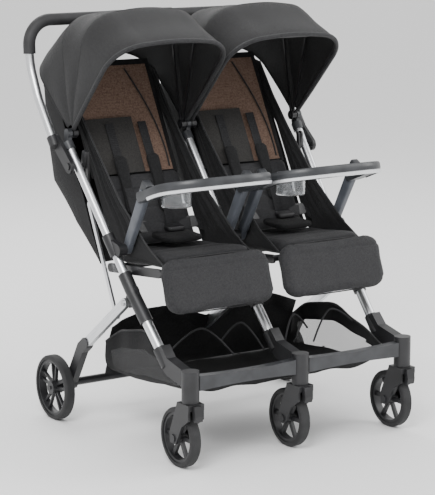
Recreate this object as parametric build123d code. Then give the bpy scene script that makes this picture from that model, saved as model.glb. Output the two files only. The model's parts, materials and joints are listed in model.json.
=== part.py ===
from build123d import *
import math
import os

# Twin travel stroller, millimetres. X runs across, -Y is the front, Z is up.
# While modelling, y = 0 lies over the front wheels' contact points; the whole model is centred last.

# ---- Driving dimensions: side frames --------------------------------------------------------
TOP_HALF = 349.0            # outer side frames from the middle one, at the top of the tubes
LOW_HALF = 315.0            # the same at the casters
TUBE_TOP = (460.0, 715.0)   # (y, z) of a front tube's top end
KNEE = (195.0, 383.0)       # (y, z) where front tube and lower leg meet
LEG_END = (62.0, 240.0)     # (y, z) of the lower leg's end in the caster housing
TUBE_R = 11.0
LOWER_LEG_R = 12.5
SLEEVE_WALL = 4.0
FIT = 0.15                  # clearance of pieces seated round a tube
RUN = 0.05                  # radial clearance of a turning pin
GAP = 0.5                   # gap between faces that pass each other

# ---- Wheels and casters ---------------------------------------------------------------------
FRONT_WHEEL_R = 72.5
FRONT_WHEEL_W = 26.0
REAR_WHEEL_R = 83.5
REAR_WHEEL_W = 27.0
TYRE_DEPTH = 11.0
RIM_DEPTH = 7.0
FRONT_HUB_R = 14.0
REAR_HUB_R = 17.0
FRONT_SPOKES = 6
REAR_SPOKES = 10
REAR_LEAN = 8.0             # degrees by which the rear spokes lean towards each other in pairs
AXLE_R = 5.0
CASTER_TRAIL = 43.0
POST_R = 21.0
POST_LOW = 166.0
POST_TOP = 242.0
STEM_R = 7.0
STEM_LEN = 60.0
HOUSING_HALF = 13.0
HOUSING_ARM = [(-43, 198), (40, 214), (74, 236), (88, 262), (66, 282), (40, 256), (-43, 238)]
FORK_ARM = 6.0
FORK_ARM_LOW = [(14, 88), (13, 60), (-12, 60), (-38, 108), (-67, 128)]
WHEEL_SIDE_GAP = 3.0        # between the wheel and each fork arm
LOCK_HALF = 11.0
LOCK_FACE = [(0, 128), (0, 163), (-8, 163), (-13, 140), (-10, 126)]
FORK_HEAD = 15.0
CROSSBAR_H = 36.0
CROSSBAR_D = 22.0
CROSSBAR_DROP = 13.0        # the bar's top below the post's top
CROSSBAR_WAIST = 4.0        # how far each edge draws in at mid-span

# ---- Rear legs, links and brake -------------------------------------------------------------
LEG_PIVOT = (207.0, 364.0)
LEG_BEND = (424.0, 205.0)
LEG_FOOT = (486.0, 104.0)
LEG_DEPTH = 24.0
LEG_WIDTH = 12.0
REAR_AXLE_Y = 527.0
REAR_WHEEL_X = 361.0
AXLE_TUBE = (484.0, 102.0)
AXLE_TUBE_R = 10.0
LINK_LOW = (280.0, 311.0)
LINK_ELBOW = (408.0, 572.0)
LINK_TOP = (417.0, 698.0)
LINK_W = 5.5
LINK_HALF = 5.5
LINK_SETBACK = 5.2          # from the rear leg's inner face to the link's outer face
PIN_R = 4.0
PEDAL_LEN = 70.0
PEDAL_X = 208.0
PEDAL_FACE = [(0, 12), (46, 30), (50, 22), (8, -4)]     # about the axle tube's axis

# ---- Handle -----------------------------------------------------------------------------------
HANDLE_PIVOT_Z = 668.0
HANDLE_X = 375.0
HANDLE_R = 11.0
HANDLE_LOW = (490.0, 724.0)
HANDLE_MID = (566.0, 824.0)
HANDLE_HIGH = (606.0, 905.0)
GRIP_AXIS = (612.0, 1015.0)
GRIP_R = 15.5
GRIP_CORNER = 62.0
BUTTON_HALF = 48.0
BUTTON_TRAVEL = 3.0
BUTTON_W = 34.0
BUTTON_H = 11.0
HOUSING_R = 17.5
BOLT_R = 5.0
KNUCKLE_W = 9.0
CRANK_T = 4.5
CRANK_GAP = 3.2             # clears the front tube, which leans inward below the pivot

# ---- Seats ------------------------------------------------------------------------------------
SEAT_X = 167.0              # a seat's centre from the middle frame
SEAT_HALF = 126.0           # half the width of the pad and of the backrest
SEAT_FRONT = (90.0, 456.0)
SEAT_REAR = (330.0, 432.0)
PAD = 34.0
PAD_GAP = 0.3
CROTCH_SHARE = 0.45         # place of the crotch pad's front end along the seat
CROTCH_LEN = 100.0
CROTCH_HALF = 58.0
CROTCH_T = 22.0
CROTCH_LIFT = 8.0           # degrees by which its rear end stands off the seat
BUCKLE_LEN = 44.0
BUCKLE_HALF = 26.0
BUCKLE_T = 13.0
RAIL_H = 22.0
RAIL_W = 6.0
RAIL_SETBACK = 0.06
CROSS_R = 8.0
BACK_PIVOT = (349.6, 446.0)
BACK_LIFT = 8.0
BACK_LEN = 511.0
BACK_ANGLE = 62.0
BACK_THICK = 22.0
WING_THICK = 2.4
WING_GAP = 3.0
POUCH_INSET = 10.0
POUCH_REAR = [(356, 420), (420, 464), (580, 537), (676, 590), (688, 640), (694, 820), (688, 876), (668, 892)]
WING_FRONT = [(110, 470), (180, 500), (300, 590), (430, 722), (500, 800), (560, 880)]
WING_REAR = [(604, 900), (556, 790), (400, 500), (345, 448), (335, 474)]
CALF_LEN = 134.0
CALF_ANGLE = 252.0
CALF_THICK = 24.0
CALF_HALF = 154.0
CALF_X = 170.0
CALF_DROP = 12.0

# ---- Canopies -----------------------------------------------------------------------------------
CANOPY_PIVOT = (460.0, 745.0)
CANOPY_X = 174.25
BOW_ANGLES = (133.0, 105.0, 80.0)
BOW_RADII = (318.0, 306.0, 285.0)
BOW_HALVES = (165.25, 160.75, 156.25)
BOW_W = 4.0
BOW_T = 5.0
BOW_CORNER = 70.0
HUB_R = 12.0
SHELL = 3.0
SHELL_GAP = 2.0
CAP_LOW = 690.0             # height of the cap's socket end
CAP_WALL = 3.0
REAR_PANEL_ANGLE = 38.0
REAR_PANEL_R = 266.0

# ---- Trays --------------------------------------------------------------------------------------
TRAY_PIVOT = (246.0, 483.0)
TRAY_JOINT = (168.0, 622.0)
TRAY_REACH = 165.0
TRAY_TILT = 12.0
TRAY_BAND = 36.0
TRAY_H = 22.0
ARM_W = 14.0
ARM_HALF = 11.0
CUP_R = 36.0
CUP_H = 52.0
CUP_WALL = 2.5
CUP_INSET = 57.2
CUP_FORWARD = 54.7
CUP_DROP = 20.0            # the cup's underside below the arms' upper joint
TONGUE = 26.0
TONGUE_T = 12.0
BRACKET_SPAN = (511.0, 466.0)   # heights of the tray bracket's two ends

# ---- Basket -------------------------------------------------------------------------------------
BASKET_HALF = 296.0
BASKET_WALL = 3.0
BASKET_OUTLINE = [(-20.0, 200.8), (10.0, 168.0), (150.0, 140.0), (376.0, 124.0), (434.0, 142.0),
                  (388.0, 204.0), (330.0, 256.0), (205.0, 290.0), (100.0, 250.0)]
BASKET_HOLLOW = [(-14.0, 212.0), (-14.0, 202.0), (12.0, 172.0), (151.0, 143.5), (375.0, 127.5), (429.0, 144.0),
                 (394.0, 212.0), (334.0, 268.0), (205.0, 303.0), (96.0, 262.0)]


# ---- Plain shapes ---------------------------------------------------------------------------------
def bar(start, end, radius):
    """Round bar between two points."""
    run = Vector(*end) - Vector(*start)
    body = Cylinder(radius, run.length, align=(Align.CENTER, Align.CENTER, Align.MIN))
    return Plane(origin=start, z_dir=run) * body


def x_pin(at, radius, x_low, x_high):
    """Round pin along X through a (y, z) point."""
    return bar((x_low, at[0], at[1]), (x_high, at[0], at[1]), radius)


def side_plate(outline, x_low, x_high):
    """Plate parallel to the YZ plane, cut to an outline of (y, z) points."""
    face = make_face(Plane.YZ * Polyline(*outline, close=True))
    return Pos(x_low, 0, 0) * extrude(face, x_high - x_low, dir=(1, 0, 0))


def link_plate(start, end, radius, x_low, x_high):
    """Plate parallel to the YZ plane with round ends about two (y, z) points."""
    run = Vector(end[0] - start[0], end[1] - start[1])
    middle = ((start[0] + end[0]) / 2, (start[1] + end[1]) / 2)
    turn = math.degrees(math.atan2(run.Y, run.X))
    slot = Pos(*middle) * Rot(0, 0, turn) * SlotCenterToCenter(run.length, 2 * radius)
    return Pos(x_low, 0, 0) * extrude(Plane.YZ * slot, x_high - x_low, dir=(1, 0, 0))


def between(start, end, share):
    """(y, z) point that divides the line from start to end."""
    return tuple(a + (b - a) * share for a, b in zip(start, end))


def along(start, angle, distance):
    """(y, z) point at a distance from start, at an angle in degrees from +Y towards +Z."""
    turn = math.radians(angle)
    return (start[0] + distance * math.cos(turn), start[1] + distance * math.sin(turn))


def angle_of(start, end):
    return math.degrees(math.atan2(end[1] - start[1], end[0] - start[0]))


def length_of(start, end):
    return math.hypot(end[0] - start[0], end[1] - start[1])


def slab(start, angle, length, thickness, x_low, x_high):
    """Flat slab that starts at a (y, z) point, runs at an angle and thickens to the left of it."""
    end = along(start, angle, length)
    outline = [start, end, along(end, angle + 90, thickness), along(start, angle + 90, thickness)]
    return side_plate(outline, x_low, x_high)


# ---- Side frames ------------------------------------------------------------------------------------
def frame_x(side, z):
    """X of a side frame's axis at a height: -1 left, 0 middle, 1 right."""
    share = (TUBE_TOP[1] - z) / (TUBE_TOP[1] - LEG_END[1])
    return side * (TOP_HALF + (LOW_HALF - TOP_HALF) * share)


def frame_point(side, at):
    return (frame_x(side, at[1]), at[0], at[1])


def tube_at(z):
    """(y, z) point of a front tube's axis at a height."""
    return between(TUBE_TOP, KNEE, (TUBE_TOP[1] - z) / (TUBE_TOP[1] - KNEE[1]))


SIDES = (-1, 0, 1)
HANDLE_PIVOT = tube_at(HANDLE_PIVOT_Z)


def front_tube(side):
    tube = bar(frame_point(side, TUBE_TOP), frame_point(side, KNEE), TUBE_R)
    if side:
        x = frame_x(side, HANDLE_PIVOT_Z)
        tube -= x_pin(HANDLE_PIVOT, BOLT_R + RUN, x - 2 * TUBE_R, x + 2 * TUBE_R)
    return tube


def lower_leg(side):
    start = between(KNEE, LEG_END, 0.02)
    return bar(frame_point(side, start), frame_point(side, LEG_END), LOWER_LEG_R)


def leg_inner_x(side):
    """X range of a rear leg, low to high, just outside its gusset."""
    way = side or 1
    inner = frame_x(side, LEG_PIVOT[1]) + way * (LEG_WIDTH / 2 + GAP)
    return sorted((inner, inner + way * LEG_WIDTH))


def knee_sleeve(side):
    """Sleeve over the ends of both tubes, with the gusset that carries the rear leg's pin."""
    upper = between(KNEE, TUBE_TOP, 0.13)
    lower = between(KNEE, LEG_END, 0.42)
    sleeve = bar(frame_point(side, upper), frame_point(side, KNEE), TUBE_R + SLEEVE_WALL + 1.5)
    sleeve += bar(frame_point(side, KNEE), frame_point(side, lower), LOWER_LEG_R + SLEEVE_WALL)
    x = frame_x(side, LEG_PIVOT[1])
    sleeve += link_plate(between(KNEE, LEG_PIVOT, -0.2), LEG_PIVOT, 17.0, x - LEG_WIDTH / 2, x + LEG_WIDTH / 2)
    sleeve -= bar(frame_point(side, TUBE_TOP), frame_point(side, KNEE), TUBE_R + FIT)
    sleeve -= bar(frame_point(side, KNEE), frame_point(side, LEG_END), LOWER_LEG_R + FIT)
    return sleeve - x_pin(PIN_SPOT, PIN_R + FIT, x - LEG_WIDTH, x + LEG_WIDTH)


def leg_pin(side):
    low, high = leg_inner_x(side)
    x = frame_x(side, LEG_PIVOT[1])
    near, far = (min(low, x - LEG_WIDTH / 2), max(high, x + LEG_WIDTH / 2))
    pin = x_pin(PIN_SPOT, PIN_R, near - GAP, far + GAP)
    pin += x_pin(PIN_SPOT, PIN_R + 3, near - GAP - 3, near - GAP)
    return pin + x_pin(PIN_SPOT, PIN_R + 3, far + GAP, far + GAP + 3)


PIN_SPOT = along(LEG_PIVOT, angle_of(LEG_PIVOT, LEG_BEND), 8.0)


def tray_bracket(side):
    """Sleeve on the front tube with a lobe and a round boss on each side that has a seat."""
    high, low = (tube_at(z) for z in BRACKET_SPAN)
    radius = TUBE_R + SLEEVE_WALL
    sleeve = bar(frame_point(side, high), frame_point(side, low), radius)
    x = frame_x(side, TRAY_PIVOT[1])
    sleeve += link_plate(tube_at(TRAY_PIVOT[1] + 8), TRAY_PIVOT, 15.0, x - 8, x + 8)
    for way in ((-1, 1) if side == 0 else (-side,)):
        face = x + way * radius
        reach = face + way * (2 * GAP + ARM_W)
        sleeve += x_pin(TRAY_PIVOT, 15.0, *sorted((x + way * 6, face)))
        sleeve += x_pin(TRAY_PIVOT, 7.0, *sorted((face, reach)))
    sleeve -= bar(frame_point(side, TUBE_TOP), frame_point(side, KNEE), TUBE_R + FIT)
    return sleeve


def canopy_cap(side):
    """Cap on a front tube's top with the canopy's hinge pins."""
    top = tube_at(TUBE_TOP[1] + 6)
    x = frame_x(side, TUBE_TOP[1])
    cap = bar(frame_point(side, tube_at(CAP_LOW + 14)), frame_point(side, top), TUBE_R + CAP_WALL)
    cap += link_plate(top, CANOPY_PIVOT, 9.0, x - 6, x + 6)
    cap += x_pin(CANOPY_PIVOT, HUB_R, x - 6, x + 6)
    for seat in ((-1, 1) if side == 0 else (side,)):
        way = -seat if side == 0 else seat
        end = seat * CANOPY_X + way * (BOW_HALVES[2] - BOW_W - GAP)
        cap += x_pin(CANOPY_PIVOT, PIN_R, *sorted((x, end)))
    return cap - bar(frame_point(side, tube_at(CAP_LOW)), frame_point(side, TUBE_TOP), TUBE_R + FIT)


# ---- Casters ------------------------------------------------------------------------------------------
def caster_x(side):
    return side * LOW_HALF


def caster_housing(side):
    """Upright post that holds the caster's stem, with the socket for the lower leg."""
    x = caster_x(side)
    post = Pos(x, -CASTER_TRAIL, POST_LOW) * Cylinder(
        POST_R, POST_TOP - POST_LOW, align=(Align.CENTER, Align.CENTER, Align.MIN))
    arm = side_plate(HOUSING_ARM, x - HOUSING_HALF, x + HOUSING_HALF)
    socket_end = between(LEG_END, KNEE, 0.2)
    socket = bar(frame_point(side, between(LEG_END, KNEE, -0.06)), frame_point(side, socket_end),
                 LOWER_LEG_R + SLEEVE_WALL)
    housing = post + arm + socket
    housing -= bar(frame_point(side, LEG_END), frame_point(side, KNEE), LOWER_LEG_R + FIT)
    stem_hole = Cylinder(STEM_R + RUN, STEM_LEN + GAP, align=(Align.CENTER, Align.CENTER, Align.MIN))
    return housing - Pos(x, -CASTER_TRAIL, POST_LOW) * stem_hole


def crossbar(side):
    """Bar between the middle housing and an outer one, slimmer at mid-span."""
    start = side * (POST_R - 1.5)
    end = side * (LOW_HALF - POST_R + 1.5)
    high = POST_TOP - CROSSBAR_DROP
    low = high - CROSSBAR_H
    middle = (start + end) / 2
    edge_low = ThreePointArc((start, low), (middle, low + CROSSBAR_WAIST), (end, low))
    edge_high = ThreePointArc((end, high), (middle, high - CROSSBAR_WAIST), (start, high))
    outline = edge_low + Line((end, low), (end, high)) + edge_high + Line((start, high), (start, low))
    face = make_face(Plane.XZ * outline)
    beam = Pos(0, -CASTER_TRAIL - CROSSBAR_D / 2, 0) * extrude(face, CROSSBAR_D, dir=(0, 1, 0))
    for post in (0, side):
        beam -= Pos(caster_x(post), -CASTER_TRAIL, POST_LOW) * Cylinder(
            POST_R + FIT, 2 * POST_TOP, align=Align.CENTER)
    return beam


def caster_fork(side):
    """Fork head, two arms and the stem that turns in the housing."""
    x = caster_x(side)
    half = FRONT_WHEEL_W / 2 + WHEEL_SIDE_GAP
    head = Pos(x, -CASTER_TRAIL, POST_LOW - GAP - FORK_HEAD / 2) * Box(
        2 * (half + FORK_ARM), 2 * POST_R + 8, FORK_HEAD)
    top = POST_LOW - GAP
    outline = [(-67, top), (-19, top)] + FORK_ARM_LOW
    fork = head
    for way in (-1, 1):
        fork += side_plate(outline, *sorted((x + way * half, x + way * (half + FORK_ARM))))
    stem = Cylinder(STEM_R, STEM_LEN - GAP, align=(Align.CENTER, Align.CENTER, Align.MIN))
    fork += Pos(x, -CASTER_TRAIL, POST_LOW - GAP) * stem
    fork -= x_pin((0, FRONT_WHEEL_R), AXLE_R + FIT, x - 2 * half, x + 2 * half)
    return fork


def front_axle(side):
    x = caster_x(side)
    half = FRONT_WHEEL_W / 2 + WHEEL_SIDE_GAP + FORK_ARM
    axle = x_pin((0, FRONT_WHEEL_R), AXLE_R, x - half, x + half)
    for way in (-1, 1):
        axle += x_pin((0, FRONT_WHEEL_R), 10.0, *sorted((x + way * half, x + way * (half + 3))))
    return axle


def swivel_lock(side):
    """Lever on the front of the fork head that slides up to stop the swivel."""
    front = -CASTER_TRAIL - POST_R - 4 - GAP
    x = caster_x(side)
    outline = [(front + y, z) for y, z in LOCK_FACE]
    return side_plate(outline, x - LOCK_HALF, x + LOCK_HALF)


def wheel_rim(at, x, radius, width, hub_radius, bore, spokes):
    """Rim ring, hub and spokes about X."""
    outer = radius - TYRE_DEPTH
    inner = outer - RIM_DEPTH
    low = x - width / 2
    high = x + width / 2
    ring = x_pin(at, outer, low + 3, high - 3) - x_pin(at, inner, low, high)
    hub = x_pin(at, hub_radius, low - 1, high + 1)
    rim = ring + hub
    for step in range(spokes):
        turn = 360.0 * step / spokes
        start = along(at, turn, hub_radius - 2)
        end = along(at, turn + REAR_LEAN * (spokes == REAR_SPOKES) * (-1) ** step, inner + 1)
        rim += link_plate(start, end, 2.6 if spokes == REAR_SPOKES else 5.0, x - 4, x + 4)
    return rim - x_pin(at, bore, low - 5, high + 5)


def wheel_tyre(at, x, radius, width):
    outer = x_pin(at, radius, x - width / 2, x + width / 2)
    outer = fillet(outer.edges().filter_by(GeomType.CIRCLE), 6.0)
    return outer - x_pin(at, radius - TYRE_DEPTH, x - width, x + width)


# ---- Rear frame -----------------------------------------------------------------------------------------
REAR_AXLE = (REAR_AXLE_Y, REAR_WHEEL_R)


def rear_leg(side):
    low, high = leg_inner_x(side)
    leg = link_plate(PIN_SPOT, LEG_BEND, LEG_DEPTH / 2, low, high)
    return leg - x_pin(PIN_SPOT, PIN_R + RUN, low - 1, high + 1)


def rear_foot(side):
    """Plastic foot over the leg's end that holds the axle tube and, outside, the wheel's stub."""
    low, high = leg_inner_x(side)
    way = side or 1
    x_low, x_high = low - 3, high + 3
    foot = link_plate(between(LEG_BEND, LEG_PIVOT, 0.1), LEG_BEND, 15.0, x_low, x_high)
    foot += link_plate(LEG_BEND, LEG_FOOT, 15.0, x_low, x_high)
    foot += link_plate(LEG_FOOT, AXLE_TUBE, 16.0, x_low, x_high)
    if side:
        foot += link_plate(LEG_FOOT, REAR_AXLE, 15.0, x_low, x_high)
        hub_face = side * (REAR_WHEEL_X - REAR_WHEEL_W / 2 - 1 - GAP)
        wall = side * (frame_x(1, LEG_PIVOT[1]) + LEG_WIDTH)
        foot += x_pin(REAR_AXLE, 12.0, *sorted((wall, hub_face)))
        foot += x_pin(REAR_AXLE, AXLE_R, *sorted((hub_face, side * (REAR_WHEEL_X + REAR_WHEEL_W / 2 + 4))))
    leg = link_plate(PIN_SPOT, LEG_BEND, LEG_DEPTH / 2 + FIT, low - FIT, high + FIT)
    return foot - leg - x_pin(AXLE_TUBE, AXLE_TUBE_R + FIT, -TOP_HALF, TOP_HALF)


def axle_tube():
    reach = leg_inner_x(1)[1]
    return x_pin(AXLE_TUBE, AXLE_TUBE_R, -reach, reach)


def brake_pedal():
    """Foot pedal that turns on the axle tube."""
    collar = x_pin(AXLE_TUBE, AXLE_TUBE_R + 4, PEDAL_X - PEDAL_LEN / 2, PEDAL_X + PEDAL_LEN / 2)
    outline = [(AXLE_TUBE[0] + y, AXLE_TUBE[1] + z) for y, z in PEDAL_FACE]
    pad = side_plate(outline, PEDAL_X - PEDAL_LEN / 2, PEDAL_X + PEDAL_LEN / 2)
    return collar + pad - x_pin(AXLE_TUBE, AXLE_TUBE_R + RUN, PEDAL_X - PEDAL_LEN, PEDAL_X + PEDAL_LEN)


def link_x(side):
    """X range of a fold link, just inside its rear leg."""
    inner = frame_x(1, LEG_PIVOT[1]) + LEG_WIDTH / 2 - LINK_SETBACK
    return sorted((side * (inner - LINK_W), side * inner))


def fold_link(side):
    low, high = link_x(side)
    link = link_plate(LINK_LOW, LINK_ELBOW, LINK_HALF, low, high)
    link -= x_pin(LINK_LOW, PIN_R + RUN, low - 1, high + 1)
    return link


def link_end(side):
    """Plastic end that carries the link round behind the front tube to the crank."""
    low, high = link_x(side)
    end = link_plate(LINK_ELBOW, LINK_TOP, LINK_HALF, low, high)
    return end - link_plate(LINK_LOW, LINK_ELBOW, LINK_HALF + FIT, low - 1, high + 1)


def link_stud(side):
    """Stud on the rear leg that the link turns on."""
    low, high = sorted((side * (link_x(1)[0] - 3), side * leg_inner_x(1)[0]))
    return x_pin(LINK_LOW, PIN_R, low, high) + x_pin(
        LINK_LOW, PIN_R + 3, *sorted((side * (link_x(1)[0] - 3), side * (link_x(1)[0] - GAP))))


# ---- Handle ---------------------------------------------------------------------------------------------
def knuckle(side):
    """Plastic knuckle outside the front tube that carries the handle tube."""
    inner = TOP_HALF + TUBE_R + CAP_WALL + GAP
    plate = link_plate(HANDLE_PIVOT, HANDLE_LOW, 17.0, *sorted((side * inner, side * (inner + KNUCKLE_W))))
    socket_low = along(HANDLE_LOW, angle_of(HANDLE_MID, HANDLE_LOW), 16)
    socket_high = along(HANDLE_LOW, angle_of(HANDLE_LOW, HANDLE_MID), 12)
    plate += bar((side * HANDLE_X, *socket_low), (side * HANDLE_X, *socket_high), HANDLE_R + 3)
    plate -= bar((side * HANDLE_X, *HANDLE_LOW), (side * HANDLE_X, *HANDLE_MID), HANDLE_R + FIT)
    return plate - x_pin(HANDLE_PIVOT, BOLT_R + FIT, *sorted((side * (inner - 5), side * (inner + 20))))


def pivot_bolt(side):
    """Bolt through the front tube that turns with the handle."""
    outer = TOP_HALF + TUBE_R + CAP_WALL + GAP + KNUCKLE_W
    inner = crank_x(1)[0]
    bolt = x_pin(HANDLE_PIVOT, BOLT_R, *sorted((side * inner, side * outer)))
    return bolt + x_pin(HANDLE_PIVOT, 9.0, *sorted((side * outer, side * (outer + 3))))


def crank_x(side):
    high = frame_x(1, HANDLE_PIVOT_Z) - TUBE_R - CRANK_GAP
    return sorted((side * high, side * (high - CRANK_T)))


def crank(side):
    """Inner lever on the pivot bolt; its boss faces the link's upper end."""
    low, high = crank_x(side)
    lever = link_plate(HANDLE_PIVOT, LINK_TOP, 9.0, low, high)
    boss = (crank_x(1)[0], link_x(1)[1] + GAP)
    lever += x_pin(LINK_TOP, LINK_HALF, *sorted((side * boss[0], side * boss[1])))
    return lever - x_pin(HANDLE_PIVOT, BOLT_R + FIT, low - 1, high + 1)


def handle_tube():
    """One bent tube from knuckle to knuckle."""
    sides = [(-HANDLE_X, *HANDLE_LOW), (-HANDLE_X, *HANDLE_MID), (-HANDLE_X, *HANDLE_HIGH),
             (-HANDLE_X, *GRIP_AXIS)]
    points = sides + [(HANDLE_X, y, z) for _, y, z in reversed(sides)]
    radii = (140, 140, GRIP_CORNER, GRIP_CORNER, 140, 140)
    path = FilletPolyline(*points, radius=radii)
    start = Plane(origin=points[0], z_dir=Vector(*points[1]) - Vector(*points[0]))
    return sweep(start * Circle(HANDLE_R), path=path)


def grip(side):
    """Foam sleeve on one half of the handle's cross piece and round its corner."""
    corner = (side * HANDLE_X, *GRIP_AXIS)
    points = [(side * HANDLE_X, *between(GRIP_AXIS, HANDLE_HIGH, 0.75)), corner,
              (side * (BUTTON_HALF + GAP), *GRIP_AXIS)]
    path = FilletPolyline(*points, radius=GRIP_CORNER)
    start = Plane(origin=points[0], z_dir=Vector(*points[1]) - Vector(*points[0]))
    return sweep(start * (Circle(GRIP_R) - Circle(HANDLE_R + FIT)), path=path)


def button_housing():
    """Plastic housing in the middle of the cross piece with a pocket for the fold button."""
    housing = x_pin(GRIP_AXIS, HOUSING_R, -BUTTON_HALF, BUTTON_HALF)
    housing -= x_pin(GRIP_AXIS, HANDLE_R + FIT, -2 * BUTTON_HALF, 2 * BUTTON_HALF)
    pocket = Box(BUTTON_W + 2 * GAP, HOUSING_R - HANDLE_R - 1, BUTTON_H + 2 * GAP,
                 align=(Align.CENTER, Align.MIN, Align.CENTER))
    return housing - Pos(0, GRIP_AXIS[0] - HOUSING_R, GRIP_AXIS[1]) * pocket


def fold_button():
    """Push button on the front of the housing."""
    face = GRIP_AXIS[0] - HOUSING_R - BUTTON_TRAVEL
    depth = HOUSING_R - HANDLE_R - 1 - GAP
    button = Box(BUTTON_W, depth, BUTTON_H, align=(Align.CENTER, Align.MIN, Align.CENTER))
    return Pos(0, face, GRIP_AXIS[1]) * button


# ---- Seats ----------------------------------------------------------------------------------------------
def seat_rails(side):
    """Two flat rails and two cross tubes under one seat."""
    line = angle_of(SEAT_FRONT, SEAT_REAR)
    tip, end = (along(at, line - 90, CROSS_R + PAD_GAP) for at in (SEAT_FRONT, SEAT_REAR))
    start = between(tip, end, RAIL_SETBACK)
    reach = TUBE_R + SLEEVE_WALL + 1.5 + GAP + RAIL_W / 2
    outer = frame_x(1, end[1]) - reach
    pieces = []
    for centre in (outer, reach):
        pieces.append(link_plate(start, end, RAIL_H / 2,
                                 *sorted((side * (centre - RAIL_W / 2), side * (centre + RAIL_W / 2)))))
    for share in (0.04, 0.96):
        pieces.append(x_pin(between(start, end, share), CROSS_R,
                            *sorted((side * (reach + RAIL_W / 2), side * (outer - RAIL_W / 2)))))
    return pieces


def seat_pad(side):
    line = angle_of(SEAT_FRONT, SEAT_REAR)
    span = length_of(SEAT_FRONT, SEAT_REAR)
    centre = side * SEAT_X
    half = SEAT_HALF + WING_GAP - WING_THICK / 2 - PAD_GAP
    pad = slab(SEAT_FRONT, line, span, PAD, centre - half, centre + half)
    return fillet(pad.edges().filter_by(Axis.X).sort_by(Axis.Y)[:2], 9.0)


def backrest(side):
    centre = side * SEAT_X
    start = along(BACK_PIVOT, BACK_ANGLE, BACK_LIFT)
    back = slab(start, BACK_ANGLE, BACK_LEN, BACK_THICK, centre - SEAT_HALF, centre + SEAT_HALF)
    return fillet(back.edges().filter_by(Axis.X).sort_by(Axis.Z)[-2:], 8.0)


def shoulder_pads(side):
    """Two harness pads lying on the backrest."""
    centre = side * SEAT_X
    face = along(BACK_PIVOT, BACK_ANGLE + 90, BACK_THICK + GAP)
    pieces = []
    for offset in (-48.0, 48.0):
        pad = slab(along(face, BACK_ANGLE, 150), BACK_ANGLE, 170, 10, centre + offset - 22, centre + offset + 22)
        pieces.append(fillet(pad.edges().filter_by(Axis.X), 4.0))
    return pieces


def crotch_buckle(side):
    """Padded crotch strap lying on the seat, with the harness buckle on its rear end."""
    centre = side * SEAT_X
    line = angle_of(SEAT_FRONT, SEAT_REAR)
    lean = line + CROTCH_LIFT
    foot = along(between(SEAT_FRONT, SEAT_REAR, CROTCH_SHARE), line + 90, PAD + PAD_GAP)
    pad = slab(foot, lean, CROTCH_LEN, CROTCH_T, centre - CROTCH_HALF, centre + CROTCH_HALF)
    top = along(foot, lean + 90, CROTCH_T + PAD_GAP)
    buckle = slab(along(top, lean, CROTCH_LEN - BUCKLE_LEN - 10), lean, BUCKLE_LEN, BUCKLE_T,
                  centre - BUCKLE_HALF, centre + BUCKLE_HALF)
    pad = fillet(pad.edges().filter_by(Axis.X).sort_by(Axis.Z)[-2:], 8.0)
    return [pad, fillet(buckle.edges().filter_by(Axis.X), 4.0)]


def wing(x):
    """Fabric side panel between canopy hinge, seat front and backrest."""
    return side_plate(WING_FRONT + WING_REAR, x - WING_THICK / 2, x + WING_THICK / 2)


def back_pouch(side):
    """Fabric pouch that hangs behind the backrest, close to the side panels' rear edges."""
    centre = side * CANOPY_X
    front = [(y + GAP, z) for y, z in WING_REAR[:3]]
    half = BOW_HALVES[2] - POUCH_INSET
    return side_plate(POUCH_REAR + front, centre - half, centre + half)


def calf_hinge():
    """(y, z) of the calf rest's upper rear edge, just in front of the seat pad."""
    edge = along(SEAT_FRONT, angle_of(SEAT_FRONT, SEAT_REAR) + 90, PAD - CALF_DROP)
    return (edge[0] - PAD_GAP, edge[1])


def calf_rest(side):
    centre = side * CALF_X
    panel = slab(calf_hinge(), CALF_ANGLE, CALF_LEN, -CALF_THICK, centre - CALF_HALF, centre + CALF_HALF)
    return fillet(panel.edges().filter_by(Axis.X).sort_by(Axis.Z)[:2], 10.0)


# ---- Canopies -------------------------------------------------------------------------------------------
def bow_plane(side, angle):
    """Plane of a bow: x across, y outwards from the hinge line."""
    turn = math.radians(angle)
    outward = Vector(0, math.cos(turn), math.sin(turn))
    across = Vector(1, 0, 0)
    return Plane(origin=(side * CANOPY_X, *CANOPY_PIVOT), x_dir=across, z_dir=across.cross(outward))


def canopy_bow(side, index):
    """Flat U-shaped bow with a hub at each end."""
    half = BOW_HALVES[index]
    radius = BOW_RADII[index]
    corners = [(-half, 0), (-half, radius), (half, radius), (half, 0)]
    outer = make_face(Polyline(*corners, close=True))
    inner = make_face(Polyline((-half + BOW_W, -1), (-half + BOW_W, radius - BOW_W),
                               (half - BOW_W, radius - BOW_W), (half - BOW_W, -1), close=True))
    outer = fillet(outer.vertices().sort_by(Axis.Y)[-2:], BOW_CORNER)
    inner = fillet(inner.vertices().sort_by(Axis.Y)[-2:], BOW_CORNER - BOW_W)
    band = extrude(outer - inner, BOW_T / 2, both=True)
    bow = bow_plane(side, BOW_ANGLES[index]) * band
    for way in (-1, 1):
        x_out = side * CANOPY_X + way * half
        x_in = side * CANOPY_X + way * (half - BOW_W)
        bow += x_pin(CANOPY_PIVOT, HUB_R, *sorted((x_out, x_in)))
        bow -= x_pin(CANOPY_PIVOT, PIN_R + (RUN if index < 2 else FIT), *sorted((x_out + way, x_in - way)))
    return bow


def canopy_section(side, angle, radius, half, low):
    face = make_face(Polyline((-half, low), (-half, radius), (half, radius), (half, low), close=True))
    face = fillet(face.vertices().sort_by(Axis.Y)[-2:], BOW_CORNER)
    return bow_plane(side, angle) * face


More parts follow.
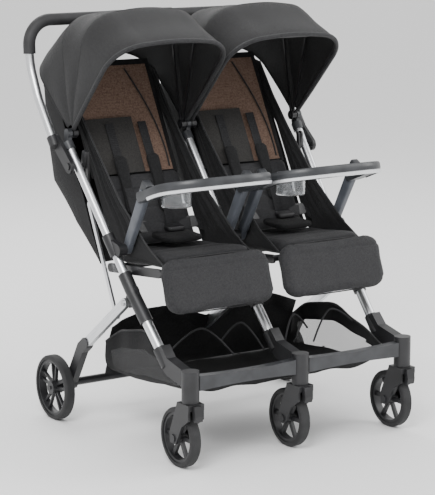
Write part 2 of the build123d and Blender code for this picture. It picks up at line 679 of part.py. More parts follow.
def canopy(side):
    """Fabric shell over the bows: rear panel, main cover and front visor."""
    angles = (REAR_PANEL_ANGLE,) + BOW_ANGLES[::-1]
    radii = (REAR_PANEL_R,) + BOW_RADII[::-1]
    half = BOW_HALVES[0] + SHELL_GAP
    grow = SHELL + SHELL_GAP
    outer = loft([canopy_section(side, a, r + grow, half + SHELL, 60) for a, r in zip(angles, radii)], ruled=True)
    angles = (REAR_PANEL_ANGLE - 3,) + angles + (BOW_ANGLES[0] + 3,)
    radii = (REAR_PANEL_R,) + radii + (BOW_RADII[0],)
    inner = loft([canopy_section(side, a, r + SHELL_GAP, half, 56) for a, r in zip(angles, radii)], ruled=True)
    return outer - inner


# ---- Trays ----------------------------------------------------------------------------------------------
def arm_x(side):
    """Centres of a seat's two tray arms: outer and inner."""
    step = TUBE_R + SLEEVE_WALL + GAP + ARM_W / 2
    return (side * (frame_x(1, TRAY_PIVOT[1]) - step), side * step)


def tray_arms(side):
    """Two arms that turn on the brackets, each with a tongue for the tray's socket."""
    rise = angle_of(TRAY_PIVOT, TRAY_JOINT)
    pieces = []
    for x in arm_x(side):
        arm = link_plate(TRAY_PIVOT, TRAY_JOINT, ARM_HALF, x - ARM_W / 2, x + ARM_W / 2)
        top = along(TRAY_JOINT, rise, ARM_HALF - 1)
        start = along(top, rise - 90, TONGUE_T / 2)
        arm += slab(start, rise, TONGUE, TONGUE_T, x - 4, x + 4)
        arm -= x_pin(TRAY_PIVOT, 7.0 + RUN, x - ARM_W, x + ARM_W)
        pieces.append(arm)
    return pieces


def tray_plane(side):
    outer, inner = arm_x(side)
    base = along(TRAY_JOINT, angle_of(TRAY_PIVOT, TRAY_JOINT), ARM_HALF + 6)
    turn = math.radians(TRAY_TILT)
    forward = Vector(0, -math.cos(turn), math.sin(turn))
    across = Vector(1, 0, 0)
    return Plane(origin=((outer + inner) / 2, *base), x_dir=across, z_dir=across.cross(forward) * -1)


def tray_bar(side):
    """Curved bumper tray with a socket at each end."""
    outer_x, inner_x = arm_x(side)
    half = abs(outer_x - inner_x) / 2 + TRAY_BAND / 2 - 4
    rear = 16.0
    outline = make_face(Polyline((-half, rear), (-half, -TRAY_REACH), (half, -TRAY_REACH), (half, rear), close=True))
    outline = fillet(outline.vertices().sort_by(Axis.Y)[:2], half * 0.72)
    narrow = half - TRAY_BAND + 8
    hollow = make_face(Polyline((-narrow, rear + 1), (-narrow, -TRAY_REACH + TRAY_BAND + 14),
                                (narrow, -TRAY_REACH + TRAY_BAND + 14), (narrow, rear + 1), close=True))
    hollow = fillet(hollow.vertices().sort_by(Axis.Y)[:2], narrow * 0.72)
    band = extrude(outline - hollow, TRAY_H / 2, both=True)
    tray = tray_plane(side) * band
    rise = angle_of(TRAY_PIVOT, TRAY_JOINT)
    for x in arm_x(side):
        start = along(along(TRAY_JOINT, rise, ARM_HALF - 2), rise - 90, TONGUE_T / 2 + GAP)
        tray -= slab(start, rise, TONGUE + 3, TONGUE_T + 2 * GAP, x - 4 - GAP, x + 4 + GAP)
        tray -= link_plate(TRAY_PIVOT, TRAY_JOINT, ARM_HALF + GAP, x - ARM_W / 2 - GAP, x + ARM_W / 2 + GAP)
    return tray


def cup_place(side):
    """Centre of a cup's underside, inside the tray's left arm."""
    x = min(arm_x(side)) + CUP_INSET
    return (x, TRAY_JOINT[0] - CUP_FORWARD, TRAY_JOINT[1] - CUP_DROP)


def cup_holder(side):
    """Clear cup hanging inside the tray's left front corner."""
    align = (Align.CENTER, Align.CENTER, Align.MIN)
    cup = Cylinder(CUP_R, CUP_H, align=align)
    hollow = Pos(0, 0, CUP_WALL) * Cylinder(CUP_R - CUP_WALL, CUP_H, align=align)
    return Pos(*cup_place(side)) * (cup - hollow)


# ---- Basket ---------------------------------------------------------------------------------------------
def basket():
    """Wide fabric basket under both seats, open at the top."""
    outer = side_plate(BASKET_OUTLINE, -BASKET_HALF, BASKET_HALF)
    return outer - side_plate(BASKET_HOLLOW, -BASKET_HALF + BASKET_WALL, BASKET_HALF - BASKET_WALL)


# ---- Assembly -------------------------------------------------------------------------------------------
NAMES = {-1: "left", 0: "middle", 1: "right"}


def build_nodes():
    nodes = {
        "front_tubes": [front_tube(s) for s in SIDES],
        "lower_legs": [lower_leg(s) for s in SIDES],
        "knee_sleeves": [knee_sleeve(s) for s in SIDES],
        "leg_pins": [leg_pin(s) for s in SIDES],
        "tray_brackets": [tray_bracket(s) for s in SIDES],
        "canopy_caps": [canopy_cap(s) for s in SIDES],
        "caster_housings": [caster_housing(s) for s in SIDES],
        "front_crossbars": [crossbar(s) for s in (-1, 1)],
        "seat_rails": seat_rails(-1) + seat_rails(1),
        "seat_pads": [seat_pad(s) for s in (-1, 1)],
        "crotch_buckles": crotch_buckle(-1) + crotch_buckle(1),
        "side_wings": [wing(s * (SEAT_X + way * (SEAT_HALF + WING_GAP))) for s in (-1, 1) for way in (-1, 1)],
        "back_pouches": [back_pouch(s) for s in (-1, 1)],
        "rear_bows": [canopy_bow(s, 2) for s in (-1, 1)],
        "basket": [basket()],
        "knuckles": [knuckle(s) for s in (-1, 1)],
        "cranks": [make(s) for s in (-1, 1) for make in (crank, pivot_bolt)],
        "handle_tube": [handle_tube()],
        "grips": [grip(s) for s in (-1, 1)],
        "button_housing": [button_housing()],
        "fold_button": [fold_button()],
        "rear_legs": [rear_leg(s) for s in SIDES] + [link_stud(s) for s in (-1, 1)],
        "rear_feet": [rear_foot(s) for s in SIDES],
        "rear_axle_tube": [axle_tube()],
        "fold_links": [fold_link(s) for s in (-1, 1)],
        "link_ends": [link_end(s) for s in (-1, 1)],
        "brake_pedal": [brake_pedal()],
    }
    for side in (-1, 1):
        name = NAMES[side]
        x = side * REAR_WHEEL_X
        nodes[name + "_rear_rim"] = [wheel_rim(REAR_AXLE, x, REAR_WHEEL_R, REAR_WHEEL_W, REAR_HUB_R,
                                               AXLE_R + RUN, REAR_SPOKES)]
        nodes[name + "_rear_tyre"] = [wheel_tyre(REAR_AXLE, x, REAR_WHEEL_R, REAR_WHEEL_W)]
        nodes[name + "_backrest"] = [backrest(side)] + shoulder_pads(side)
        nodes[name + "_calf_rest"] = [calf_rest(side)]
        nodes[name + "_canopy"] = [canopy(side)]
        nodes[name + "_front_bow"] = [canopy_bow(side, 0)]
        nodes[name + "_mid_bow"] = [canopy_bow(side, 1)]
        nodes[name + "_tray_arms"] = tray_arms(side)
        nodes[name + "_tray"] = [tray_bar(side)]
        nodes[name + "_cup_holder"] = [cup_holder(side)]
    for side in SIDES:
        name = NAMES[side]
        hub = (0.0, FRONT_WHEEL_R)
        x = caster_x(side)
        nodes[name + "_fork"] = [caster_fork(side), front_axle(side)]
        nodes[name + "_front_rim"] = [wheel_rim(hub, x, FRONT_WHEEL_R, FRONT_WHEEL_W, FRONT_HUB_R,
                                                AXLE_R + RUN, FRONT_SPOKES)]
        nodes[name + "_front_tyre"] = [wheel_tyre(hub, x, FRONT_WHEEL_R, FRONT_WHEEL_W)]
        nodes[name + "_swivel_lock"] = [swivel_lock(side)]
    return nodes


def main():
    nodes = {name: Compound(children=list(solids)) for name, solids in build_nodes().items()}
    box = Compound(children=[node.moved(Location()) for node in nodes.values()]).bounding_box()
    shift = Pos(0, -(box.min.Y + box.max.Y) / 2, -box.min.Z)
    print("centre shift", shift.position, "size", box.size)
    os.makedirs("parts", exist_ok=True)
    for name, node in nodes.items():
        export_step(shift * node, f"parts/{name}.step")


main()
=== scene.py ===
import json
import math

import bpy
from mathutils import Matrix, Vector, noise


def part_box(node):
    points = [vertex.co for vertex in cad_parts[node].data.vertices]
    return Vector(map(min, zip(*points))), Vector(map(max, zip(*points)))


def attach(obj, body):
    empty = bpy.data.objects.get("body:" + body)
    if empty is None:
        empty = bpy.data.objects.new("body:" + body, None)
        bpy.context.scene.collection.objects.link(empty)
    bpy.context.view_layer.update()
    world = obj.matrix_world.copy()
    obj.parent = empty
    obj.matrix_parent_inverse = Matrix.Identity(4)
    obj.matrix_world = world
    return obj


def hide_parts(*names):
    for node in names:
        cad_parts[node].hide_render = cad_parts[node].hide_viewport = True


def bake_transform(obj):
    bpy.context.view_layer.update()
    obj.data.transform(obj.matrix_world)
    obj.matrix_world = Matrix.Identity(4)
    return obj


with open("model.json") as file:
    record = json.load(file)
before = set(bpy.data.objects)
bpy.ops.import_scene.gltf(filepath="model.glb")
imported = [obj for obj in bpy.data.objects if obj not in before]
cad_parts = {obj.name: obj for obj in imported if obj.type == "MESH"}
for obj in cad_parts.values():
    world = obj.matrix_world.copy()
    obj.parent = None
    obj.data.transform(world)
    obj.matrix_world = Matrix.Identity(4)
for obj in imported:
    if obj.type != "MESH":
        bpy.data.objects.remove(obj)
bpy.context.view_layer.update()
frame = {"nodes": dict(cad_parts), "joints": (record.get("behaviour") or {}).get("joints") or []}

joint_at = {j["name"]: Vector(j["pos_m"]) for j in frame["joints"] if j.get("pos_m")}
node = frame["nodes"]
bpy.ops.object.select_all(action="DESELECT")

# ---- Studio -----------------------------------------------------------------------------------
# A long lens from the stroller's left front, above its middle. Pale floor that runs into a white
# surround, one large key light and two fills.
CAMERA_AT = Vector((-2.7070, -4.0739, 1.3865))
CAMERA_AIM = Vector((-0.2109, -0.30625, 0.5162))
bpy.ops.object.camera_add(location=CAMERA_AT)
camera = bpy.context.object
camera.rotation_euler = (CAMERA_AIM - CAMERA_AT).to_track_quat("-Z", "Y").to_euler()
camera.data.lens = 142.7
camera.data.sensor_width = 36.0
bpy.context.scene.camera = camera

bpy.ops.mesh.primitive_grid_add(x_subdivisions=4, y_subdivisions=4, size=40.0)
floor = bpy.context.object
floor.name = "floor"
floor_paint = bpy.data.materials.new("studio_floor")
floor_paint.use_nodes = True
floor_paint.node_tree.nodes["Principled BSDF"].inputs["Base Color"].default_value = (0.93, 0.93, 0.93, 1)
floor_paint.node_tree.nodes["Principled BSDF"].inputs["Roughness"].default_value = 0.85
floor.data.materials.append(floor_paint)

surround = bpy.data.worlds.new("surround")
surround.use_nodes = True
surround.node_tree.nodes["Background"].inputs["Color"].default_value = (1, 1, 1, 1)
surround.node_tree.nodes["Background"].inputs["Strength"].default_value = 1.15
bpy.context.scene.world = surround
LAMPS = (((-2.6, -2.4, 3.6), 150, 1.8),
         ((3.0, -1.6, 2.4), 60, 2.0),
         ((0.4, 2.8, 3.0), 60, 2.0))
for place, watts, size in LAMPS:
    bpy.ops.object.light_add(type="AREA", location=place)
    lamp = bpy.context.object
    lamp.data.energy = watts
    lamp.data.size = size
    lamp.rotation_euler = (CAMERA_AIM - Vector(place)).to_track_quat("-Z", "Y").to_euler()


# ---- Aluminium tubes ----------------------------------------------------------------------------
# Extruded and drawn aluminium, brushed along its length and clear anodised.
# The brushing follows each tube, so every group of tubes has its own turn of the grain.
def paint(name, roughness, metallic=0.0):
    """Empty material with its nodes, its links and its shader."""
    material = bpy.data.materials.new(name)
    material.use_nodes = True
    tree = material.node_tree
    shader = tree.nodes["Principled BSDF"]
    shader.inputs["Roughness"].default_value = roughness
    shader.inputs["Metallic"].default_value = metallic
    return material, tree.nodes, tree.links, shader


def grain(nodes, links, scale, detail=4.0, stretch=(1, 1, 1), turn=0.0):
    """Noise on the piece's own coordinates, turned about X and drawn out along its axes."""
    where = nodes.new("ShaderNodeTexCoord")
    mapping = nodes.new("ShaderNodeMapping")
    mapping.vector_type = "TEXTURE"
    mapping.inputs["Rotation"].default_value = (turn, 0, 0)
    mapping.inputs["Scale"].default_value = stretch
    speckle = nodes.new("ShaderNodeTexNoise")
    speckle.inputs["Scale"].default_value = scale
    speckle.inputs["Detail"].default_value = detail
    links.new(where.outputs["Object"], mapping.inputs["Vector"])
    links.new(mapping.outputs["Vector"], speckle.inputs["Vector"])
    return speckle


def tint(nodes, links, shader, source, dark, light, low=0.35, high=0.65):
    """Base colour that runs from dark to light with a pattern."""
    ramp = nodes.new("ShaderNodeValToRGB")
    ramp.color_ramp.elements[0].position = low
    ramp.color_ramp.elements[1].position = high
    ramp.color_ramp.elements[0].color = (*dark, 1)
    ramp.color_ramp.elements[1].color = (*light, 1)
    links.new(source, ramp.inputs["Fac"])
    links.new(ramp.outputs["Color"], shader.inputs["Base Color"])


def vary(nodes, links, shader, source, low, high):
    """Roughness that follows a pattern."""
    span = nodes.new("ShaderNodeMapRange")
    span.inputs["To Min"].default_value = low
    span.inputs["To Max"].default_value = high
    links.new(source, span.inputs["Value"])
    links.new(span.outputs["Result"], shader.inputs["Roughness"])


def emboss(nodes, links, shader, source, strength, depth):
    bump = nodes.new("ShaderNodeBump")
    bump.inputs["Strength"].default_value = strength
    bump.inputs["Distance"].default_value = depth
    links.new(source, bump.inputs["Height"])
    links.new(bump.outputs["Normal"], shader.inputs["Normal"])


def aluminium(name, turn):
    material, nodes, links, shader = paint(name, 0.3, 1.0)
    brushing = grain(nodes, links, 1400, 3.0, (1, 60, 1), turn)
    tint(nodes, links, shader, brushing.outputs["Fac"], (0.62, 0.63, 0.65), (0.84, 0.85, 0.86))
    vary(nodes, links, shader, brushing.outputs["Fac"], 0.24, 0.42)
    emboss(nodes, links, shader, brushing.outputs["Fac"], 0.15, 0.0002)
    return material


def dress(material, *names):
    """Puts a material on carried-over nodes."""
    for name in names:
        node[name].data.materials.clear()
        node[name].data.materials.append(material)


dress(aluminium("aluminium_front_tube", math.radians(51.4)), "front_tubes")
dress(aluminium("aluminium_lower_leg", math.radians(47.0)), "lower_legs")
dress(aluminium("aluminium_rear_leg", math.radians(-36.2)), "rear_legs")
dress(aluminium("aluminium_link", math.radians(63.9)), "fold_links")
dress(aluminium("aluminium_handle", math.radians(58.0)), "handle_tube")


# ---- Moulded plastic, steel and painted metal ---------------------------------------------------
# Glass-filled nylon with a spark-eroded grain for brackets, housings, hubs and buckles.
# Pins and axle caps are turned steel; bows, rails and the axle tube are powder-coated.
def moulded(name, dark, light, roughness, size=900):
    material, nodes, links, shader = paint(name, roughness)
    pits = grain(nodes, links, size, 5.0)
    wear = grain(nodes, links, 22, 6.0)
    tint(nodes, links, shader, wear.outputs["Fac"], dark, light)
    vary(nodes, links, shader, wear.outputs["Fac"], roughness - 0.08, roughness + 0.08)
    emboss(nodes, links, shader, pits.outputs["Fac"], 0.25, 0.0004)
    return material


dark_plastic = moulded("dark_plastic", (0.009, 0.009, 0.010), (0.018, 0.018, 0.020), 0.42)
grey_plastic = moulded("grey_plastic", (0.022, 0.023, 0.026), (0.038, 0.040, 0.044), 0.36)
arm_plastic = moulded("arm_plastic", (0.060, 0.066, 0.078), (0.088, 0.096, 0.112), 0.36)
black_metal = moulded("black_metal", (0.009, 0.009, 0.010), (0.017, 0.017, 0.019), 0.34, 2200)
steel_pin, nodes, links, shader = paint("steel_pin", 0.28, 1.0)
turning = grain(nodes, links, 700, 3.0, (0.2, 1, 1))
tint(nodes, links, shader, turning.outputs["Fac"], (0.42, 0.42, 0.43), (0.62, 0.62, 0.63))
emboss(nodes, links, shader, turning.outputs["Fac"], 0.2, 0.0002)

dress(dark_plastic, "knee_sleeves", "tray_brackets", "caster_housings", "rear_feet", "knuckles",
      "link_ends", "button_housing", "brake_pedal", "left_rear_rim", "right_rear_rim")
dress(grey_plastic, "canopy_caps", "front_crossbars", "fold_button")
dress(arm_plastic, "left_tray_arms", "right_tray_arms")
dress(black_metal, "seat_rails", "rear_axle_tube", "cranks", "rear_bows",
      "left_front_bow", "right_front_bow", "left_mid_bow", "right_mid_bow")
dress(steel_pin, "leg_pins")
for side in ("left", "middle", "right"):
    dress(dark_plastic, side + "_fork", side + "_front_rim", side + "_swivel_lock")

# ---- Tyres --------------------------------------------------------------------------------------
# Solid foamed polyurethane tyres pressed on the rims: matt, very dark, a little dusty where they roll.
rubber, nodes, links, shader = paint("tyre_rubber", 0.72)
pores = grain(nodes, links, 1100, 6.0)
dust = grain(nodes, links, 35, 5.0)
tint(nodes, links, shader, dust.outputs["Fac"], (0.010, 0.010, 0.011), (0.020, 0.020, 0.021))
emboss(nodes, links, shader, pores.outputs["Fac"], 0.3, 0.0005)
dress(rubber, "left_rear_tyre", "right_rear_tyre", *(s + "_front_tyre" for s in ("left", "middle", "right")))

# ---- Grips --------------------------------------------------------------------------------------
# Closed-cell foam sleeves slid over both halves of the handle; the skin has a fine leathery cell.
foam, nodes, links, shader = paint("grip_foam", 0.62)
cells = nodes.new("ShaderNodeTexVoronoi")
cells.inputs["Scale"].default_value = 620
where = nodes.new("ShaderNodeTexCoord")
links.new(where.outputs["Object"], cells.inputs["Vector"])
shade = grain(nodes, links, 30, 4.0)
tint(nodes, links, shader, shade.outputs["Fac"], (0.014, 0.014, 0.015), (0.024, 0.024, 0.026))
emboss(nodes, links, shader, cells.outputs["Distance"], 0.35, 0.0006)
dress(foam, "grips")

# ---- Cup holders --------------------------------------------------------------------------------
# Thin injection-moulded clear cups; only a faint flow pattern shows in the wall.
clear, nodes, links, shader = paint("clear_cup", 0.08)
flow = grain(nodes, links, 60, 3.0)
tint(nodes, links, shader, flow.outputs["Fac"], (0.80, 0.82, 0.84), (0.93, 0.94, 0.95))
emboss(nodes, links, shader, flow.outputs["Fac"], 0.1, 0.0005)
shader.inputs["Transmission Weight"].default_value = 0.95
shader.inputs["IOR"].default_value = 1.3
dress(clear, "left_cup_holder", "right_cup_holder")


# ---- Fabrics ------------------------------------------------------------------------------------
# Polyester canvas in plain weave, close to black; the canopy cloth is finer, with a dull sheen.
# Webbing is a coarser ribbed weave. The weave is a lattice of sines on the piece's coordinates.
def weave(nodes, links, threads):
    """Height of a plain weave: threads is how many run in a metre."""
    where = nodes.new("ShaderNodeTexCoord")
    parts = nodes.new("ShaderNodeSeparateXYZ")
    links.new(where.outputs["Object"], parts.inputs["Vector"])
    total = None
    for axis in ("X", "Y", "Z"):
        scaled = nodes.new("ShaderNodeMath")
        scaled.operation = "MULTIPLY"
        scaled.inputs[1].default_value = threads * math.pi
        wave = nodes.new("ShaderNodeMath")
        wave.operation = "SINE"
        bow = nodes.new("ShaderNodeMath")
        bow.operation = "ABSOLUTE"
        links.new(parts.outputs[axis], scaled.inputs[0])
        links.new(scaled.outputs[0], wave.inputs[0])
        links.new(wave.outputs[0], bow.inputs[0])
        if total is None:
            total = bow
        else:
            more = nodes.new("ShaderNodeMath")
            more.operation = "ADD"
            links.new(total.outputs[0], more.inputs[0])
            links.new(bow.outputs[0], more.inputs[1])
            total = more
    return total.outputs[0]


def cloth(name, dark, light, roughness=0.85, threads=900, depth=0.0006, sheen=0.03):
    material, nodes, links, shader = paint(name, roughness)
    heather = grain(nodes, links, 240, 6.0)
    tint(nodes, links, shader, heather.outputs["Fac"], dark, light)
    emboss(nodes, links, shader, weave(nodes, links, threads), 0.5, depth)
    shader.inputs["Sheen Weight"].default_value = sheen
    shader.inputs["Sheen Roughness"].default_value = 0.5
    shader.inputs["Specular IOR Level"].default_value = 0.28
    return material


canvas = cloth("black_canvas", (0.006, 0.006, 0.0065), (0.014, 0.014, 0.015))
hood_cloth = cloth("hood_cloth", (0.011, 0.011, 0.0115), (0.021, 0.021, 0.022), 0.72, 1200, 0.0004, 0.05)
pad_cloth = cloth("pad_cloth", (0.014, 0.014, 0.0155), (0.026, 0.026, 0.028), 0.66, 1000, 0.0005, 0.05)
flap_cloth = cloth("flap_cloth", (0.022, 0.021, 0.020), (0.036, 0.034, 0.032), 0.8, 1000, 0.0005, 0.05)
webbing = cloth("webbing", (0.007, 0.007, 0.008), (0.018, 0.018, 0.020), 0.6, 420, 0.001, 0.04)
piping_cloth = cloth("piping_cloth", (0.012, 0.012, 0.013), (0.028, 0.028, 0.030), 0.6, 1000, 0.0004, 0.05)
tan_net = cloth("tan_net", (0.115, 0.070, 0.050), (0.200, 0.130, 0.098), 0.8, 300, 0.0008, 0.05)


# ---- Canopies -----------------------------------------------------------------------------------
# Each is one sheet of lined hood cloth over three bows: it is tight at the bows and sinks between
# them. A bound rim runs round the front bow, and the seams over the bows are taped.
def sheet_grid(name, across, along, spot):
    """Grid primitive whose vertices are moved to spot(u, v), with u across and v along, 0 to 1."""
    bpy.ops.object.select_all(action="DESELECT")
    bpy.ops.mesh.primitive_grid_add(x_subdivisions=across, y_subdivisions=along, size=1.0)
    piece = bpy.context.object
    piece.name = name
    for vertex in piece.data.vertices:
        vertex.co = Vector(spot(vertex.co.x + 0.5, vertex.co.y + 0.5))
    return piece


def select_only(piece):
    bpy.ops.object.select_all(action="DESELECT")
    piece.select_set(True)
    bpy.context.view_layer.objects.active = piece


def face_outward():
    """Turns the normals of the active piece outward."""
    bpy.ops.object.mode_set(mode="EDIT")
    bpy.ops.mesh.select_all(action="SELECT")
    bpy.ops.mesh.normals_make_consistent(inside=False)
    bpy.ops.object.mode_set(mode="OBJECT")


def apply_all(piece):
    select_only(piece)
    for modifier in list(piece.modifiers):
        bpy.ops.object.modifier_apply(modifier=modifier.name)


def thicken(piece, thickness, material, smooth_angle=50):
    """Gives a sheet its cloth thickness, a material and smooth shading."""
    wall = piece.modifiers.new("wall", "SOLIDIFY")
    wall.thickness = thickness
    wall.offset = 0
    apply_all(piece)
    face_outward()
    bpy.ops.object.shade_smooth_by_angle(angle=math.radians(smooth_angle))
    piece.data.materials.clear()
    piece.data.materials.append(material)
    return piece


def cord_piece(name, points, radius, material, closed=False):
    """Round piping or tube along points, as a mesh."""
    line = bpy.data.curves.new(name, "CURVE")
    line.dimensions = "3D"
    line.bevel_depth = radius
    line.bevel_resolution = 3
    line.resolution_u = 8
    line.use_fill_caps = not closed
    spline = line.splines.new("NURBS")
    spline.points.add(len(points) - 1)
    for knot, point in zip(spline.points, points):
        knot.co = (*point, 1)
    spline.order_u = 3
    spline.use_endpoint_u = not closed
    spline.use_cyclic_u = closed
    piece = bpy.data.objects.new(name, line)
    bpy.context.scene.collection.objects.link(piece)
    select_only(piece)
    bpy.ops.object.convert(target="MESH")
    piece = bpy.context.object
    bpy.ops.object.shade_smooth()
    piece.data.materials.clear()
    piece.data.materials.append(material)
    return piece


def join(target, *others):
    bpy.ops.object.select_all(action="DESELECT")
    for other in others:
        other.select_set(True)
    target.select_set(True)
    bpy.context.view_layer.objects.active = target
    bpy.ops.object.join()
    return target


def smooth_step(value, low, high):
    share = min(1.0, max(0.0, (value - low) / (high - low)))
    return share * share * (3 - 2 * share)


HOOD_ANGLES = (40.0, 80.0, 105.0, 133.6)
HOOD_RADII = (0.271, 0.2905, 0.3115, 0.3235)
HOOD_HALF = 0.1690
HOOD_HUB_HALF = 0.1668
HOOD_LOW = 0.020
HOOD_CORNER = 0.088
HOOD_CROWN = 0.007
HOOD_DIP = 0.011
HOOD_WALL = 0.0016


def hood_radius(angle):
    """Radius of the cloth at an angle, sinking between the bows."""
    for low, high, near, far in zip(HOOD_ANGLES, HOOD_ANGLES[1:], HOOD_RADII, HOOD_RADII[1:]):
        if angle <= high or high == HOOD_ANGLES[-1]:
            share = min(1.0, max(0.0, (angle - low) / (high - low)))
            return near + (far - near) * share - HOOD_DIP * math.sin(math.pi * share) ** 1.3
    return HOOD_RADII[-1]


def hood_spot(centre, angle, around, dip=0.0):
    """Point of the hood: around runs 0 to 1 from the left hub over the top to the right hub."""
    reach = hood_radius(angle)
    corner = HOOD_CORNER
    side_run = reach - corner - HOOD_LOW
    arc = corner * math.pi / 2
    top_run = 2 * (HOOD_HALF - corner)
    total = 2 * side_run + 2 * arc + top_run
    way = around * total
    if way > total / 2:
        mirrored, way = 1, total - way
    else:
        mirrored = -1
    if way < side_run:
        out, rise = HOOD_HALF, HOOD_LOW + way
        pull = math.sin(math.pi * way / side_run)
    elif way < side_run + arc:
        turn = (way - side_run) / corner
        out = HOOD_HALF - corner + corner * math.cos(turn)
        rise = reach - corner + corner * math.sin(turn)
        pull = 0.0
    else:
        out = HOOD_HALF - corner - (way - side_run - arc)
        rise = reach + HOOD_CROWN * (1 - (out / (HOOD_HALF - corner)) ** 2)
        pull = 0.0
    hub = 1 - smooth_step(rise, 0.03, 0.10)
    out -= (HOOD_HALF - HOOD_HUB_HALF) * hub
    out -= dip * pull
    turn = math.radians(angle)
    return (centre.x + mirrored * out, centre.y + rise * math.cos(turn), centre.z + rise * math.sin(turn))


def hood_side_dip(angle):
    """How far the side cloth draws in between two bows."""
    for low, high in zip(HOOD_ANGLES, HOOD_ANGLES[1:]):
        if low <= angle <= high:
            return -0.004 * math.sin(math.pi * (angle - low) / (high - low))
    return 0.0


hoods = {}
for side in ("left", "right"):
    hub = joint_at[side + "_canopy_fold"]

    def hood_point(u, v, hub=hub):
        angle = HOOD_ANGLES[0] + (HOOD_ANGLES[-1] - HOOD_ANGLES[0]) * v
        x, y, z = hood_spot(hub, angle, u, hood_side_dip(angle))
        crease = noise.noise(Vector((x * 14, y * 14, z * 14))) * 0.0012
        return (x, y + crease, z + crease)

    hood = sheet_grid(side + "_hood", 72, 56, hood_point)
    thicken(hood, HOOD_WALL, hood_cloth)
    parts = []
    for index, angle in enumerate(HOOD_ANGLES[1:3]):
        tape = [Vector(hood_spot(hub, angle, step / 40)) for step in range(41)]
        parts.append(cord_piece(f"{side}_hood_tape_{index}", tape, 0.0016, hood_cloth))
    back_rim = [Vector(hood_spot(hub, HOOD_ANGLES[0], step / 40)) for step in range(41)]
    parts.append(cord_piece(side + "_hood_back_rim", back_rim, 0.0022, hood_cloth))
    join(hood, *parts)
    hoods[side] = hood
    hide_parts(side + "_canopy")
    rear_top = Vector(hood_spot(hub, HOOD_ANGLES[1], 0.5))
    front_top = Vector(hood_spot(hub, HOOD_ANGLES[3], 0.5))
    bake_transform(hood)

    rim_points = [Vector(hood_spot(hub, HOOD_ANGLES[3] + 0.6, step / 48)) for step in range(49)]
    rim = cord_piece(side + "_hood_rim", rim_points, 0.0058, piping_cloth)
    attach(rim, side + "_front_bow")

    pull_points = [Vector(hood_spot(hub, HOOD_ANGLES[3] + 0.8, 0.10 + 0.012 * step)) for step in range(5)]
    pull = cord_piece(side + "_hood_pull", pull_points, 0.0035, clear)
    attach(pull, side + "_front_bow")


# ---- Side panels --------------------------------------------------------------------------------
# Canvas panels between canopy hinge, seat edge and backrest. They hang from their upper edge in
# soft vertical folds and are bound along the front.
WING_FRONT = [(-0.205, 0.462), (-0.126, 0.502), (-0.006, 0.590), (0.124, 0.722), (0.194, 0.800), (0.254, 0.882)]
WING_BACK = [(0.024, 0.462), (0.060, 0.520), (0.110, 0.612), (0.172, 0.722), (0.240, 0.800), (0.296, 0.890)]


def on_path(points, share):
    """Point on a run of points, by share of their number."""
    place = share * (len(points) - 1)
    index = min(int(place), len(points) - 2)
    part = place - index
    return Vector(points[index]).lerp(Vector(points[index + 1]), part)


for side, x, inward in (("left_outer", -0.296, 1), ("left_inner", -0.038, -1),
                        ("right_inner", 0.038, 1), ("right_outer", 0.296, -1)):
    def wing_point(u, v, x=x, inward=inward):
        front, back = on_path(WING_FRONT, v), on_path(WING_BACK, v)
        y, z = front.lerp(back, u)
        free = math.sin(math.pi * min(1.0, u * 1.15)) * smooth_step(v, 0.06, 0.3)
        free *= 1 - smooth_step(v, 0.8, 1.0)
        folds = 0.5 * math.sin(u * 21 + 2.2 * v) + 0.5 * math.sin(u * 34 - 3.0 * v + x * 40)
        ripple = noise.noise(Vector((y * 22, z * 9, x * 10))) * 0.003
        return (x + inward * free * (0.0055 + 0.0050 * folds + ripple), y, z)

    wing = sheet_grid("side_panel_" + side, 44, 60, wing_point)
    thicken(wing, 0.0014, canvas)
    binding = [Vector(wing_point(0.0, step / 30)) for step in range(31)]
    join(wing, cord_piece("binding_" + side, binding, 0.0022, piping_cloth))
    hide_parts("side_wings")
    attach(wing, "frame")


# ---- Padded pieces ------------------------------------------------------------------------------
# Seat cushions, calf rests and back cushions are canvas covers over polyester wadding, sewn through
# in channels. Each is blown up a little from a flat block, then drawn in along its seams.
SETTLE_FRAMES = 20
WADDING_PRESSURE = 4.0


def block(name, size, corner, segments=5):
    """Box primitive with its four upright edges rounded: size is x, y and thickness."""
    bpy.ops.object.select_all(action="DESELECT")
    bpy.ops.mesh.primitive_cube_add(size=1.0)
    piece = bpy.context.object
    piece.name = name
    piece.data.transform(Matrix.Diagonal((*size, 1)))
    bpy.ops.object.mode_set(mode="EDIT")
    bpy.ops.mesh.select_mode(type="EDGE")
    bpy.ops.mesh.select_all(action="DESELECT")
    bpy.ops.object.mode_set(mode="OBJECT")
    for edge in piece.data.edges:
        first, second = (piece.data.vertices[i].co for i in edge.vertices)
        edge.select = abs(first.z - second.z) > size[2] * 0.5
    bpy.ops.object.mode_set(mode="EDIT")
    bpy.ops.mesh.bevel(offset=corner, segments=segments)
    bpy.ops.object.mode_set(mode="OBJECT")
    return piece


def puff(piece, voxel, cap):
    """Swells a closed block by cloth pressure; no point moves further than cap."""
    shell = piece.modifiers.new("shell", "REMESH")
    shell.mode = "VOXEL"
    shell.voxel_size = voxel
    apply_all(piece)
    before = [vertex.co.copy() for vertex in piece.data.vertices]
    press = piece.modifiers.new("press", "CLOTH")
    press.settings.use_pressure = True
    press.settings.uniform_pressure_force = WADDING_PRESSURE
    press.settings.effector_weights.gravity = 0
    press.settings.quality = 5
    press.point_cache.frame_start = 1
    press.point_cache.frame_end = SETTLE_FRAMES
    for step in range(1, SETTLE_FRAMES + 1):
        bpy.context.scene.frame_set(step)
    apply_all(piece)
    bpy.context.scene.frame_set(1)
    for vertex, start in zip(piece.data.vertices, before):
        move = vertex.co - start
        if move.length > cap:
            vertex.co = start + move * (cap / move.length)
    ease = piece.modifiers.new("ease", "SMOOTH")
    ease.factor = 0.5
    ease.iterations = 3
    finer = piece.modifiers.new("finer", "SUBSURF")
    finer.levels = finer.render_levels = 1
    apply_all(piece)
    return piece


